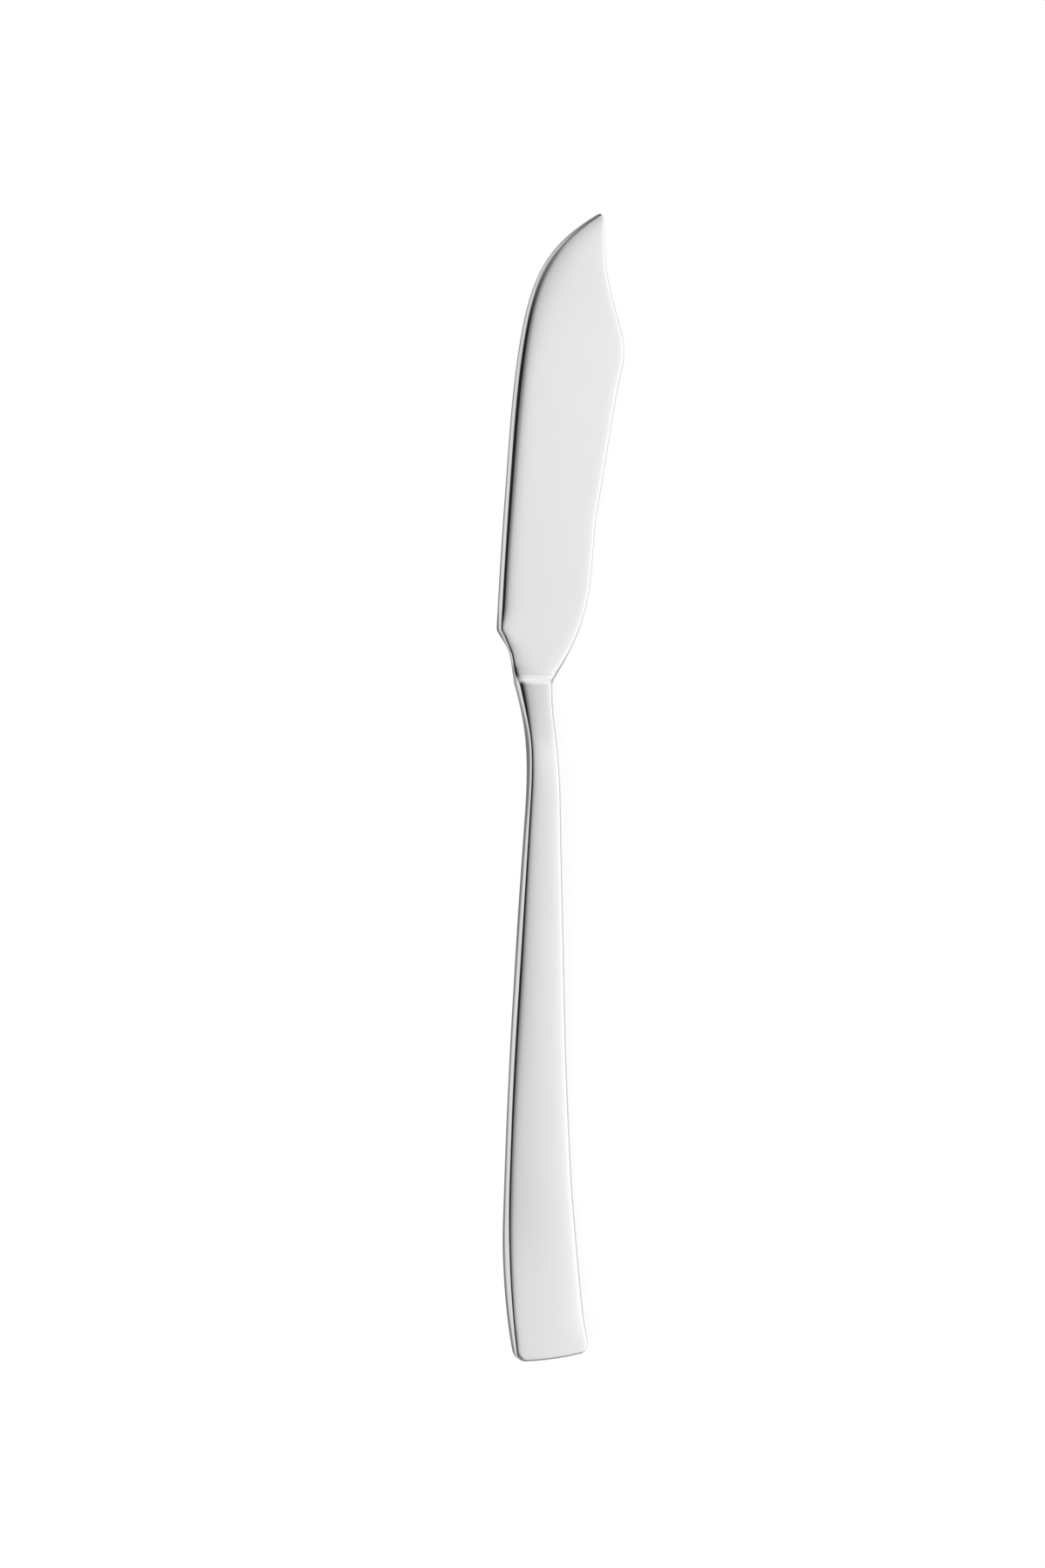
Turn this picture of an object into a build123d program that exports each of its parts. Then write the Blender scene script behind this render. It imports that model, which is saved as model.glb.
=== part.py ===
"""Fish knife in polished stainless steel: a blunt broad blade brazed into a solid handle.

All sizes are in millimetres and all angles in degrees. The knife lies flat on a table: +Z is
up, +Y runs along the handle axis towards the tip and +X points to the hump side of the blade.
The origin is on the flat underside of the blade, where the handle axis passes the heel corner.
"""
from math import cos, radians, sin, sqrt, tan
import os

from build123d import *

# Blade, lengthwise: stations run along the handle axis from the heel corner, setbacks from the tip
TIP_STATION = 78.0
NECK_LENGTH = 9.8
BLADE_THICKNESS = 1.9
TIP_THICKNESS = 1.6

# Blade, edge side: the blunt edge runs from the heel corner in one long curve to the tip
HEEL_REACH = 7.1
HEEL_RADIUS = 1.4
HEEL_SLANT = 35.0
HEEL_FLANK = 3.4
NECK_HOLLOW_REACH = 4.05
NECK_HOLLOW_STATION = 6.2
EDGE_LEAN = 3.7
EDGE_MID_REACH = 4.7
EDGE_MID_STATION = 29.3
EDGE_BEND_REACH = 1.9
EDGE_BEND_STATION = 51.7
EDGE_SWEEP_OFFSET = 4.1
EDGE_SWEEP_SETBACK = 9.9
TIP_OFFSET = 15.7
TIP_SLANT = 31.5
TIP_RADIUS = 0.6

# Blade, back: it leaves the neck, swells, runs straight to the hump and draws in to the tip
NECK_FLARE = 40.0
SWELL_START_OFFSET = 8.9
SWELL_START_STATION = -1.6
SWELL_OFFSET = 11.9
SWELL_STATION = 7.4
BACK_START_OFFSET = 13.9
BACK_START_STATION = 22.5
BACK_END_OFFSET = 18.3
HUMP_RUN = 8.5
HUMP_OFFSET = 20.1
HUMP_SETBACK = 25.4
DRAW_RUN = 6.8
DRAW_OFFSET = 18.5
NOSE_OFFSET = 16.2
NOSE_SETBACK = 9.1
NOSE_LEAN = 2.0

# Rims of both pieces, rounded above and bevelled below, and the cove up to the handle
RIM_RADIUS = 0.55
BLADE_BEVEL = 0.15
HANDLE_BEVEL = 0.4
COVE_LENGTH = 1.7

# Handle, plan: it draws in to a waist behind the shoulder and flares to a square end
HANDLE_LENGTH = 121.7
SHOULDER_HALF_WIDTH = 3.5
SHOULDER_TAPER = 8.0
WAIST_HALF_WIDTH = 2.9
WAIST_STATION = 9.0
FLANK_HALF_WIDTH = 3.4
FLANK_STATION = 21.0
FLARE_LENGTH = 26.7
FLARE_GAIN = 0.54
END_HALF_WIDTH = 7.6
END_BOW_RADIUS = 70.0
END_CORNER_RADIUS = 2.7

# Handle, side view: it climbs from the shoulder, crests, sinks to the table and turns up
FRONT_HEIGHT = 3.0
HANDLE_THICKNESS = 2.9
CROWN_RADIUS = 140.0
CREST_RADIUS = 50.0
REST_LENGTH = 50.1
REST_RADIUS = 360.0

# Top line of the handle: slopes of its climb, fall and tail, and the turn into the tail
TOP_RISE = 12.0
TOP_FALL = 3.1
TOP_TAIL_RISE = 13.5
TOP_TAIL_LENGTH = 16.0
TOP_TAIL_RADIUS = 150.0

# Underside of the handle: it climbs and falls more steeply, so that the handle thins to its end
UNDER_RISE = 17.0
UNDER_FALL = 4.1
UNDER_TAIL_RISE = 25.5
UNDER_TAIL_LENGTH = 10.6
UNDER_TAIL_RADIUS = 60.0

# Joint: a flat tang set in a blind slot and brazed all round
TANG_LENGTH = 6.5
TANG_WIDTH = 3.4
TANG_THICKNESS = 1.2
BRAZE_GAP = 0.1

# Spare length that trimming solids run past the faces that they trim
OVERRUN = 3.0

# Side walls stand upright: their normals rise by less than this share
WALL_LEAN = 0.1

shoulder_y = -NECK_LENGTH
end_y = shoulder_y - HANDLE_LENGTH
trim_height = FRONT_HEIGHT + OVERRUN


def blade_outline():
    """Draw the blade's plan as a closed wire, from the heel round by the tip and the hump."""
    edge_way = Vector(sin(radians(EDGE_LEAN)), cos(radians(EDGE_LEAN)))
    flank_way = Vector(sin(radians(HEEL_SLANT)), -cos(radians(HEEL_SLANT)))
    tip_way = Vector(cos(radians(TIP_SLANT)), sin(radians(TIP_SLANT)))
    nose_way = Vector(sin(radians(NOSE_LEAN)), -cos(radians(NOSE_LEAN)))
    taper_way = Vector(sin(radians(SHOULDER_TAPER)), -cos(radians(SHOULDER_TAPER)))
    flare_way = Vector(-sin(radians(NECK_FLARE)), -cos(radians(NECK_FLARE)))
    heel_cut = HEEL_RADIUS * tan(radians(HEEL_SLANT + EDGE_LEAN) / 2)
    tip_cut = TIP_RADIUS * tan(radians(90 + TIP_SLANT - NOSE_LEAN) / 2)
    heel = Vector(-HEEL_REACH, 0)
    flank_end = heel + flank_way * HEEL_FLANK
    tip = Vector(TIP_OFFSET, TIP_STATION)
    hump = Vector(HUMP_OFFSET, TIP_STATION - HUMP_SETBACK)
    back_start = Vector(BACK_START_OFFSET, BACK_START_STATION)
    back_end = Vector(BACK_END_OFFSET, hump.Y - HUMP_RUN)
    back_way = (back_end - back_start).normalized()
    shoulder_left = Vector(-SHOULDER_HALF_WIDTH, shoulder_y)
    shoulder_right = Vector(SHOULDER_HALF_WIDTH, shoulder_y)
    edge = Spline(
        heel + edge_way * heel_cut,
        (-EDGE_MID_REACH, EDGE_MID_STATION),
        (-EDGE_BEND_REACH, EDGE_BEND_STATION),
        (EDGE_SWEEP_OFFSET, TIP_STATION - EDGE_SWEEP_SETBACK),
        tip - tip_way * tip_cut,
        tangents=[edge_way, tip_way],
    )
    TangentArc(edge @ 1, tip + nose_way * tip_cut, tangent=tip_way)
    Spline(
        tip + nose_way * tip_cut,
        (NOSE_OFFSET, TIP_STATION - NOSE_SETBACK),
        (DRAW_OFFSET, hump.Y + DRAW_RUN),
        hump,
        tangents=[nose_way, (0, -1)],
    )
    Spline(hump, back_end, tangents=[(0, -1), -back_way])
    Line(back_end, back_start)
    Spline(
        back_start,
        (SWELL_OFFSET, SWELL_STATION),
        (SWELL_START_OFFSET, SWELL_START_STATION),
        shoulder_right,
        tangents=[-back_way, flare_way],
    )
    Line(shoulder_right, shoulder_left)
    Spline(
        shoulder_left,
        (-NECK_HOLLOW_REACH, -NECK_HOLLOW_STATION),
        flank_end,
        tangents=[-taper_way, -flank_way],
    )
    flank = Line(flank_end, heel + flank_way * heel_cut)
    TangentArc(flank @ 1, edge @ 0, tangent=-flank_way)


def wave(start_height, rest_height, rise, fall, tail_rise, tail_length, tail_radius):
    """Draw a lengthwise line of the handle: climb, crest, fall, level rest and upturned tail."""
    rest_y = end_y + REST_LENGTH
    turn_y = end_y + tail_length
    climb = tan(radians(rise))
    drop = tan(radians(fall))
    run = (rest_height - start_height + drop * (shoulder_y - rest_y)) / (climb + drop)
    crest_y = shoulder_y - run
    crest_z = start_height + climb * run
    lead = (shoulder_y + OVERRUN, start_height - climb * OVERRUN)
    tail_y = end_y - OVERRUN
    tail = (tail_y, rest_height + tan(radians(tail_rise)) * (turn_y - tail_y))
    return FilletPolyline(
        lead,
        (crest_y, crest_z),
        (rest_y, rest_height),
        (turn_y, rest_height),
        tail,
        radius=[CREST_RADIUS, REST_RADIUS, tail_radius],
    )


def tang_side(gap):
    """Draw the side view of the tang, grown by the gap, from the shoulder to its end."""
    rise = radians((TOP_RISE + UNDER_RISE) / 2)
    along = Vector(-cos(rise), sin(rise))
    across = Vector(sin(rise), cos(rise))
    root = Vector(shoulder_y, FRONT_HEIGHT / 2)
    end = root + along * (TANG_LENGTH + gap)
    half_height = TANG_THICKNESS / 2 + gap
    root_half = Vector(0, half_height / cos(rise))
    end_half = across * half_height
    Polyline(root - root_half, end - end_half, end + end_half, root + root_half, close=True)


def rims(faces, facing):
    """Pick the edges where faces that look up (1) or down (-1) meet the walls, off the shoulder."""
    shoulder = faces.filter_by_position(Axis.Y, shoulder_y, shoulder_y)
    level = faces.filter_by(lambda face: facing * face.normal_at().Z > WALL_LEAN)
    walls = faces.filter_by(lambda face: abs(face.normal_at().Z) < WALL_LEAN) - shoulder
    return level.edges() & walls.edges()


with BuildPart() as blade:
    # Plan of the blade, up past the height of the handle
    with BuildSketch(Plane.XY):
        with BuildLine():
            blade_outline()
        make_face()
    extrude(amount=trim_height)
    # Side view: flat underside, thinning top and the cove up to the handle
    climb_way = (-cos(radians(TOP_RISE)), sin(radians(TOP_RISE)))
    with BuildSketch(Plane.YZ.offset(-HEEL_REACH - OVERRUN)):
        with BuildLine():
            sides = Polyline(
                (shoulder_y, FRONT_HEIGHT),
                (shoulder_y, 0),
                (TIP_STATION, 0),
                (TIP_STATION, TIP_THICKNESS),
                (shoulder_y + COVE_LENGTH, BLADE_THICKNESS),
            )
            Spline(sides @ 1, sides @ 0, tangents=[(-1, 0), climb_way])
        make_face()
    extrude(amount=HEEL_REACH + HUMP_OFFSET + 2 * OVERRUN, mode=Mode.INTERSECT)
    fillet(rims(blade.faces(), 1), RIM_RADIUS)
    chamfer(rims(blade.faces(), -1), BLADE_BEVEL)
    # Tang, from inside the neck into the handle
    with BuildSketch(Plane.YZ.offset(-TANG_WIDTH / 2)):
        with BuildLine():
            tang_side(0)
        make_face()
    extrude(amount=TANG_WIDTH)
blade.part.label = "blade"

with BuildPart() as handle:
    # Crowned strip that follows the top of the handle
    with BuildLine(Plane.YZ) as top:
        wave(
            FRONT_HEIGHT,
            HANDLE_THICKNESS,
            TOP_RISE,
            TOP_FALL,
            TOP_TAIL_RISE,
            TOP_TAIL_LENGTH,
            TOP_TAIL_RADIUS,
        )
    strip_half_width = END_HALF_WIDTH + OVERRUN
    crown_drop = CROWN_RADIUS - sqrt(CROWN_RADIUS**2 - strip_half_width**2)
    with BuildSketch(Plane(top.line @ 0, x_dir=(1, 0, 0), z_dir=top.line % 0)):
        with BuildLine():
            base = Polyline(
                (-strip_half_width, -crown_drop),
                (-strip_half_width, -trim_height),
                (strip_half_width, -trim_height),
                (strip_half_width, -crown_drop),
            )
            ThreePointArc(base @ 0, (0, 0), base @ 1)
        make_face()
    sweep(path=top.line)
    # Side view above the underside
    with BuildSketch(Plane.YZ.offset(-strip_half_width - OVERRUN)):
        with BuildLine():
            under = wave(
                0,
                0,
                UNDER_RISE,
                UNDER_FALL,
                UNDER_TAIL_RISE,
                UNDER_TAIL_LENGTH,
                UNDER_TAIL_RADIUS,
            )
            lid_height = (under @ 1).Y + trim_height
            Polyline(
                under @ 0,
                (shoulder_y + OVERRUN, lid_height),
                (end_y - OVERRUN, lid_height),
                under @ 1,
            )
        make_face()
    extrude(amount=2 * strip_half_width + 2 * OVERRUN, mode=Mode.INTERSECT)
    # Plan of the handle, drawn on the +X side and mirrored
    corner_x = END_HALF_WIDTH - END_CORNER_RADIUS
    bow_y = end_y + END_BOW_RADIUS
    corner_y = bow_y - sqrt((END_BOW_RADIUS - END_CORNER_RADIUS) ** 2 - corner_x**2)
    bow_way = Vector(corner_x, corner_y - bow_y).normalized()
    bow_start = Vector(0, bow_y) + bow_way * END_BOW_RADIUS
    taper_way = Vector(-sin(radians(SHOULDER_TAPER)), -cos(radians(SHOULDER_TAPER)))
    flank_start = Vector(FLANK_HALF_WIDTH, shoulder_y - FLANK_STATION)
    flank_end = Vector(END_HALF_WIDTH - FLARE_GAIN, end_y + FLARE_LENGTH)
    flank_way = (flank_end - flank_start).normalized()
    with BuildSketch(Plane.XY.offset(-OVERRUN)):
        with BuildLine() as plan:
            front = Spline(
                (SHOULDER_HALF_WIDTH, shoulder_y),
                (WAIST_HALF_WIDTH, shoulder_y - WAIST_STATION),
                flank_start,
                tangents=[taper_way, flank_way],
            )
            Line(flank_start, flank_end)
            side = Spline(flank_end, (END_HALF_WIDTH, corner_y), tangents=[flank_way, (0, -1)])
            TangentArc(side @ 1, bow_start, tangent=(0, -1))
            Line((0, shoulder_y), front @ 0)
            TangentArc((0, end_y), bow_start, tangent=(1, 0))
            mirror(plan.line, about=Plane.YZ)
        make_face()
    extrude(amount=lid_height + 2 * OVERRUN, mode=Mode.INTERSECT)
    fillet(rims(handle.faces(), 1), RIM_RADIUS)
    chamfer(rims(handle.faces(), -1), HANDLE_BEVEL)
    # Blind slot for the tang and its braze
    with BuildSketch(Plane.YZ.offset(-TANG_WIDTH / 2 - BRAZE_GAP)):
        with BuildLine():
            tang_side(BRAZE_GAP)
        make_face()
    extrude(amount=TANG_WIDTH + 2 * BRAZE_GAP, mode=Mode.SUBTRACT)
handle.part.label = "handle"

with BuildPart() as braze_film:
    # Film of brazing metal that fills the slot round the tang
    with BuildSketch(Plane.YZ.offset(-TANG_WIDTH / 2 - BRAZE_GAP)):
        with BuildLine():
            tang_side(BRAZE_GAP)
        make_face()
    extrude(amount=TANG_WIDTH + 2 * BRAZE_GAP)
    with BuildSketch(Plane.YZ.offset(-TANG_WIDTH / 2)):
        with BuildLine():
            tang_side(0)
        make_face()
    extrude(amount=TANG_WIDTH, mode=Mode.SUBTRACT)
braze_film.part.label = "braze_film"

os.makedirs("parts", exist_ok=True)
export_step(blade.part, "parts/blade.step")
export_step(handle.part, "parts/handle.step")
export_step(braze_film.part, "parts/braze_film.step")
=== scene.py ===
"""Fish knife in polished stainless steel, dressed over its CAD frame. Lengths are in metres."""

import bmesh
import bpy
import numpy as np
from mathutils import Matrix, Vector


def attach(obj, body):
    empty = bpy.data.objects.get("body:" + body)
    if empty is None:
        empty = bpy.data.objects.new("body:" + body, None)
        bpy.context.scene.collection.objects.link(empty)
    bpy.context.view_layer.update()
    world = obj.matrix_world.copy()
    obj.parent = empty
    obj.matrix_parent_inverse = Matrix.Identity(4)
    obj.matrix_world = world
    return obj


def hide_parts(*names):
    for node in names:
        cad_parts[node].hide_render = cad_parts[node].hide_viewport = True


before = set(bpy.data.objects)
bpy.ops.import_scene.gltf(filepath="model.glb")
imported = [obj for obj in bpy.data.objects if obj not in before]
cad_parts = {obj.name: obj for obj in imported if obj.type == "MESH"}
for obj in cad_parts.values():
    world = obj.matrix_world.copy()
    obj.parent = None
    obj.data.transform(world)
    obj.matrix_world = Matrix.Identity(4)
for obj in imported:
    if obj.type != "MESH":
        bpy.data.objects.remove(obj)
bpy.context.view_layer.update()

# Blade: a broad blunt plate forged from stainless steel, its edge, hump and point in one outline.
# A short cove lifts its face to the height of the handle at the neck, where a flat tang goes in.
# The rims are rolled over on the wheel and the whole plate is mirror polished along its length.

# Outline in plan
TIP_STATION = 0.0780
NECK_LENGTH = 0.0098
HEEL_REACH = 0.0071
HEEL_RADIUS = 0.0014
HEEL_SLANT = np.radians(35.0)
HEEL_FLANK = 0.0034
EDGE_LEAN = np.radians(3.7)
TIP_OFFSET = 0.0157
TIP_SLANT = np.radians(31.5)
TIP_RADIUS = 0.0006
NOSE_LEAN = np.radians(2.0)
NECK_FLARE = np.radians(40.0)
HUMP_OFFSET = 0.0201
HUMP_STATION = TIP_STATION - 0.0254
BACK_START = np.array([0.0139, 0.0225])
BACK_END = np.array([0.0183, HUMP_STATION - 0.0085])
SHOULDER_HALF_WIDTH = 0.0035
SHOULDER_TAPER = np.radians(8.0)
SHOULDER_Y = -NECK_LENGTH
NECK_KNOT = (-0.00405, -0.0062)
EDGE_KNOTS = ((-0.0047, 0.0293), (-0.0019, 0.0517), (0.0041, TIP_STATION - 0.0099))
FLARE_KNOTS = ((0.0089, -0.0016), (0.0119, 0.0074))
NOSE_KNOTS = ((0.0185, HUMP_STATION + 0.0068), (0.0162, TIP_STATION - 0.0091))
# Heights, cove and tang
BLADE_THICKNESS = 0.0019
TIP_THICKNESS = 0.0016
FRONT_HEIGHT = 0.0030
COVE_LENGTH = 0.0026
CLIMB = np.radians(12.0)
TANG_LENGTH = 0.0065
TANG_WIDTH = 0.0034
TANG_THICKNESS = 0.0012
TANG_RISE = np.radians(14.5)
# Rolled rim in section: slope in degrees, and its radius at each slope
RIM_LEAN = 6.0
UPRIGHT = 90.0
RIM_TURNS = (RIM_LEAN, 10.0, 13.0, 18.0, 25.0, 60.0, UPRIGHT)
SOFT_RADII = (0.0052, 0.0046, 0.0022, 0.0018, 0.0018, 0.0008, 0.0005)
CRISP_RADII = (0.0015, 0.0012, 0.0010, 0.0010, 0.0010, 0.0010, 0.0006)
# Along each side: scale of the rim, reach of the face's sag beside it, height of the painted shade
# at the foot
EDGE_STATIONS = (SHOULDER_Y, -0.0076, -0.0056, -0.0005, 0.0045, 0.0450, 0.0660, TIP_STATION)
EDGE_RIMS = (0.95, 0.66, 0.36, 0.32, 0.78, 1.00, 0.82, 0.28)
EDGE_ROLLS = (0.0012, 0.0015, 0.0012, 0.0005, 0.0008, 0.0007, 0.0017, 0.0012)
EDGE_FEET = (0.0018, 0.0014, 0.0013, 0.0011, 0.0007, 0.0006, 0.0006, 0.0017)
BACK_STATIONS = (SHOULDER_Y, 0.0060, 0.0620, TIP_STATION)
BACK_RIMS = (1.25, 0.65, 0.65, 0.25)
BACK_ROLLS = (0.0008, 0.0005, 0.0005, 0.0003)
BACK_FEET = (0.0016, 0.0007, 0.0007, 0.0010)
FOOT_FADE = 0.0008
UNDER_RIM = 0.0003
# Swell of the neck on the edge side
NECK_SWELL = 0.00045
SWELL_FROM = -0.0005
SWELL_FULL = -0.0035
SWELL_BACK = -0.0110
SWELL_TO = -0.0220
# Grid of the plate
SQUARE_RUN = 0.0015
SIDE_COUNT = 600
ACROSS_COUNT = 41
SHARE_CROWDING = 0.12
RIM_ROWS = 18
ROW_CROWDING = 1.5
WALL_ROWS = 8
UNDER_ROWS = 8
CURVE_STEPS = 1500
BEND_STEPS = 300
PROFILE_STEPS = 2001
MERGE_REACH = 1e-7
CREASE_ANGLE = np.radians(35.0)


def heading(angle):
    """Unit direction in plan that leans by the angle from +Y towards +X."""
    return np.array([np.sin(angle), np.cos(angle)])


def fair_line(knots, start_way, end_way):
    """Fair curve through the knots: cubic pieces timed by chord length whose slopes and second
    slopes agree at each knot, with the first and last slopes along the ways given."""
    knots = np.asarray(knots, dtype=float)
    count = len(knots)
    span = np.linalg.norm(np.diff(knots, axis=0), axis=1)
    rate = np.diff(knots, axis=0) / span[:, None]
    inner = np.arange(1, count - 1)
    system = np.eye(count)
    system[inner, inner - 1] = span[1:]
    system[inner, inner] = 2 * (span[:-1] + span[1:])
    system[inner, inner + 1] = span[:-1]
    pull = np.zeros((count, 2))
    pull[0] = start_way
    pull[-1] = end_way
    pull[inner] = 3 * (span[1:, None] * rate[:-1] + span[:-1, None] * rate[1:])
    slope = np.linalg.solve(system, pull)
    knot_at = np.concatenate([[0.0], np.cumsum(span)])
    at = np.linspace(0.0, knot_at[-1], CURVE_STEPS)
    piece = np.clip(np.searchsorted(knot_at, at, side="right") - 1, 0, count - 2)
    width = span[piece][:, None]
    t = (at - knot_at[piece])[:, None] / width
    start_part = (1 + 2 * t) * (1 - t) ** 2 * knots[piece] + t * (1 - t) ** 2 * width * slope[piece]
    end_part = t**2 * (3 - 2 * t) * knots[piece + 1] - t**2 * (1 - t) * width * slope[piece + 1]
    return start_part + end_part


def right_bend(start, way, turn, radius):
    """Circular arc that leaves the start along the way and turns right by the given angle."""
    side = np.array([way[1], -way[0]])
    t = np.linspace(0.0, turn, BEND_STEPS)[:, None]
    return start + radius * (np.sin(t) * way + (1 - np.cos(t)) * side)


def spaced(line, shares):
    """Points of a line at the given shares of its length, found on its running length."""
    step = np.linalg.norm(np.diff(line, axis=0), axis=1)
    along = np.concatenate([[0.0], np.cumsum(step)])
    at = shares * along[-1]
    return np.stack([np.interp(at, along, line[:, 0]), np.interp(at, along, line[:, 1])], axis=1)


def ease(t):
    """Smooth step: three t squared less two t cubed, held at 0 and 1 outside."""
    t = np.clip(t, 0.0, 1.0)
    return t * t * (3 - 2 * t)


def net(first, second, start, end, shares):
    """Plan net between four border lines: the blend of the two sides plus the blend of the two
    ends, less the blend of the four corners that both of them hold."""
    u = np.linspace(0.0, 1.0, len(first))[:, None, None]
    v = shares[None, :, None]
    sides = (1 - v) * first[:, None] + v * second[:, None]
    ends = (1 - u) * start[None] + u * end[None]
    near = (1 - v) * first[0] + v * second[0]
    far = (1 - v) * first[-1] + v * second[-1]
    return sides + ends - (1 - u) * near - u * far


def quads(rows, columns, first_index):
    """Corner numbers of the four-sided faces of a grid of points counted row by row."""
    index = first_index + np.arange(rows * columns).reshape(rows, columns)
    corners = [index[:-1, :-1], index[:-1, 1:], index[1:, 1:], index[1:, :-1]]
    return np.stack(corners, axis=-1).reshape(-1, 4)


def rim_profile(rows, radii):
    """Rolled rim in section, as how far it stands in from the wall and how far it falls, by row.
    Its slope turns from the lean of the face to upright, and its radius changes with the turn:
    the two runs are the sums of radius times cosine and radius times sine over the turn."""
    fine = np.linspace(RIM_LEAN, UPRIGHT, PROFILE_STEPS)
    radius = np.interp(fine, RIM_TURNS, radii)
    angle = np.radians(fine)
    step = angle[1] - angle[0]
    out = np.concatenate([[0.0], np.cumsum((radius * np.cos(angle))[:-1] * step)])
    down = np.concatenate([[0.0], np.cumsum((radius * np.sin(angle))[:-1] * step)])
    turns = RIM_LEAN + (UPRIGHT - RIM_LEAN) * np.linspace(0.0, 1.0, rows) ** ROW_CROWDING
    return out[-1] - np.interp(turns, fine, out), np.interp(turns, fine, down)


def neck_swell(y):
    """How far the edge side of the neck stands out above its own foot: it rises smoothly behind
    the heel corner and sinks again behind the shoulder."""
    rise = ease((SWELL_FROM - y) / (SWELL_FROM - SWELL_FULL))
    return NECK_SWELL * rise * ease((y - SWELL_TO) / (SWELL_BACK - SWELL_TO))


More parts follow.
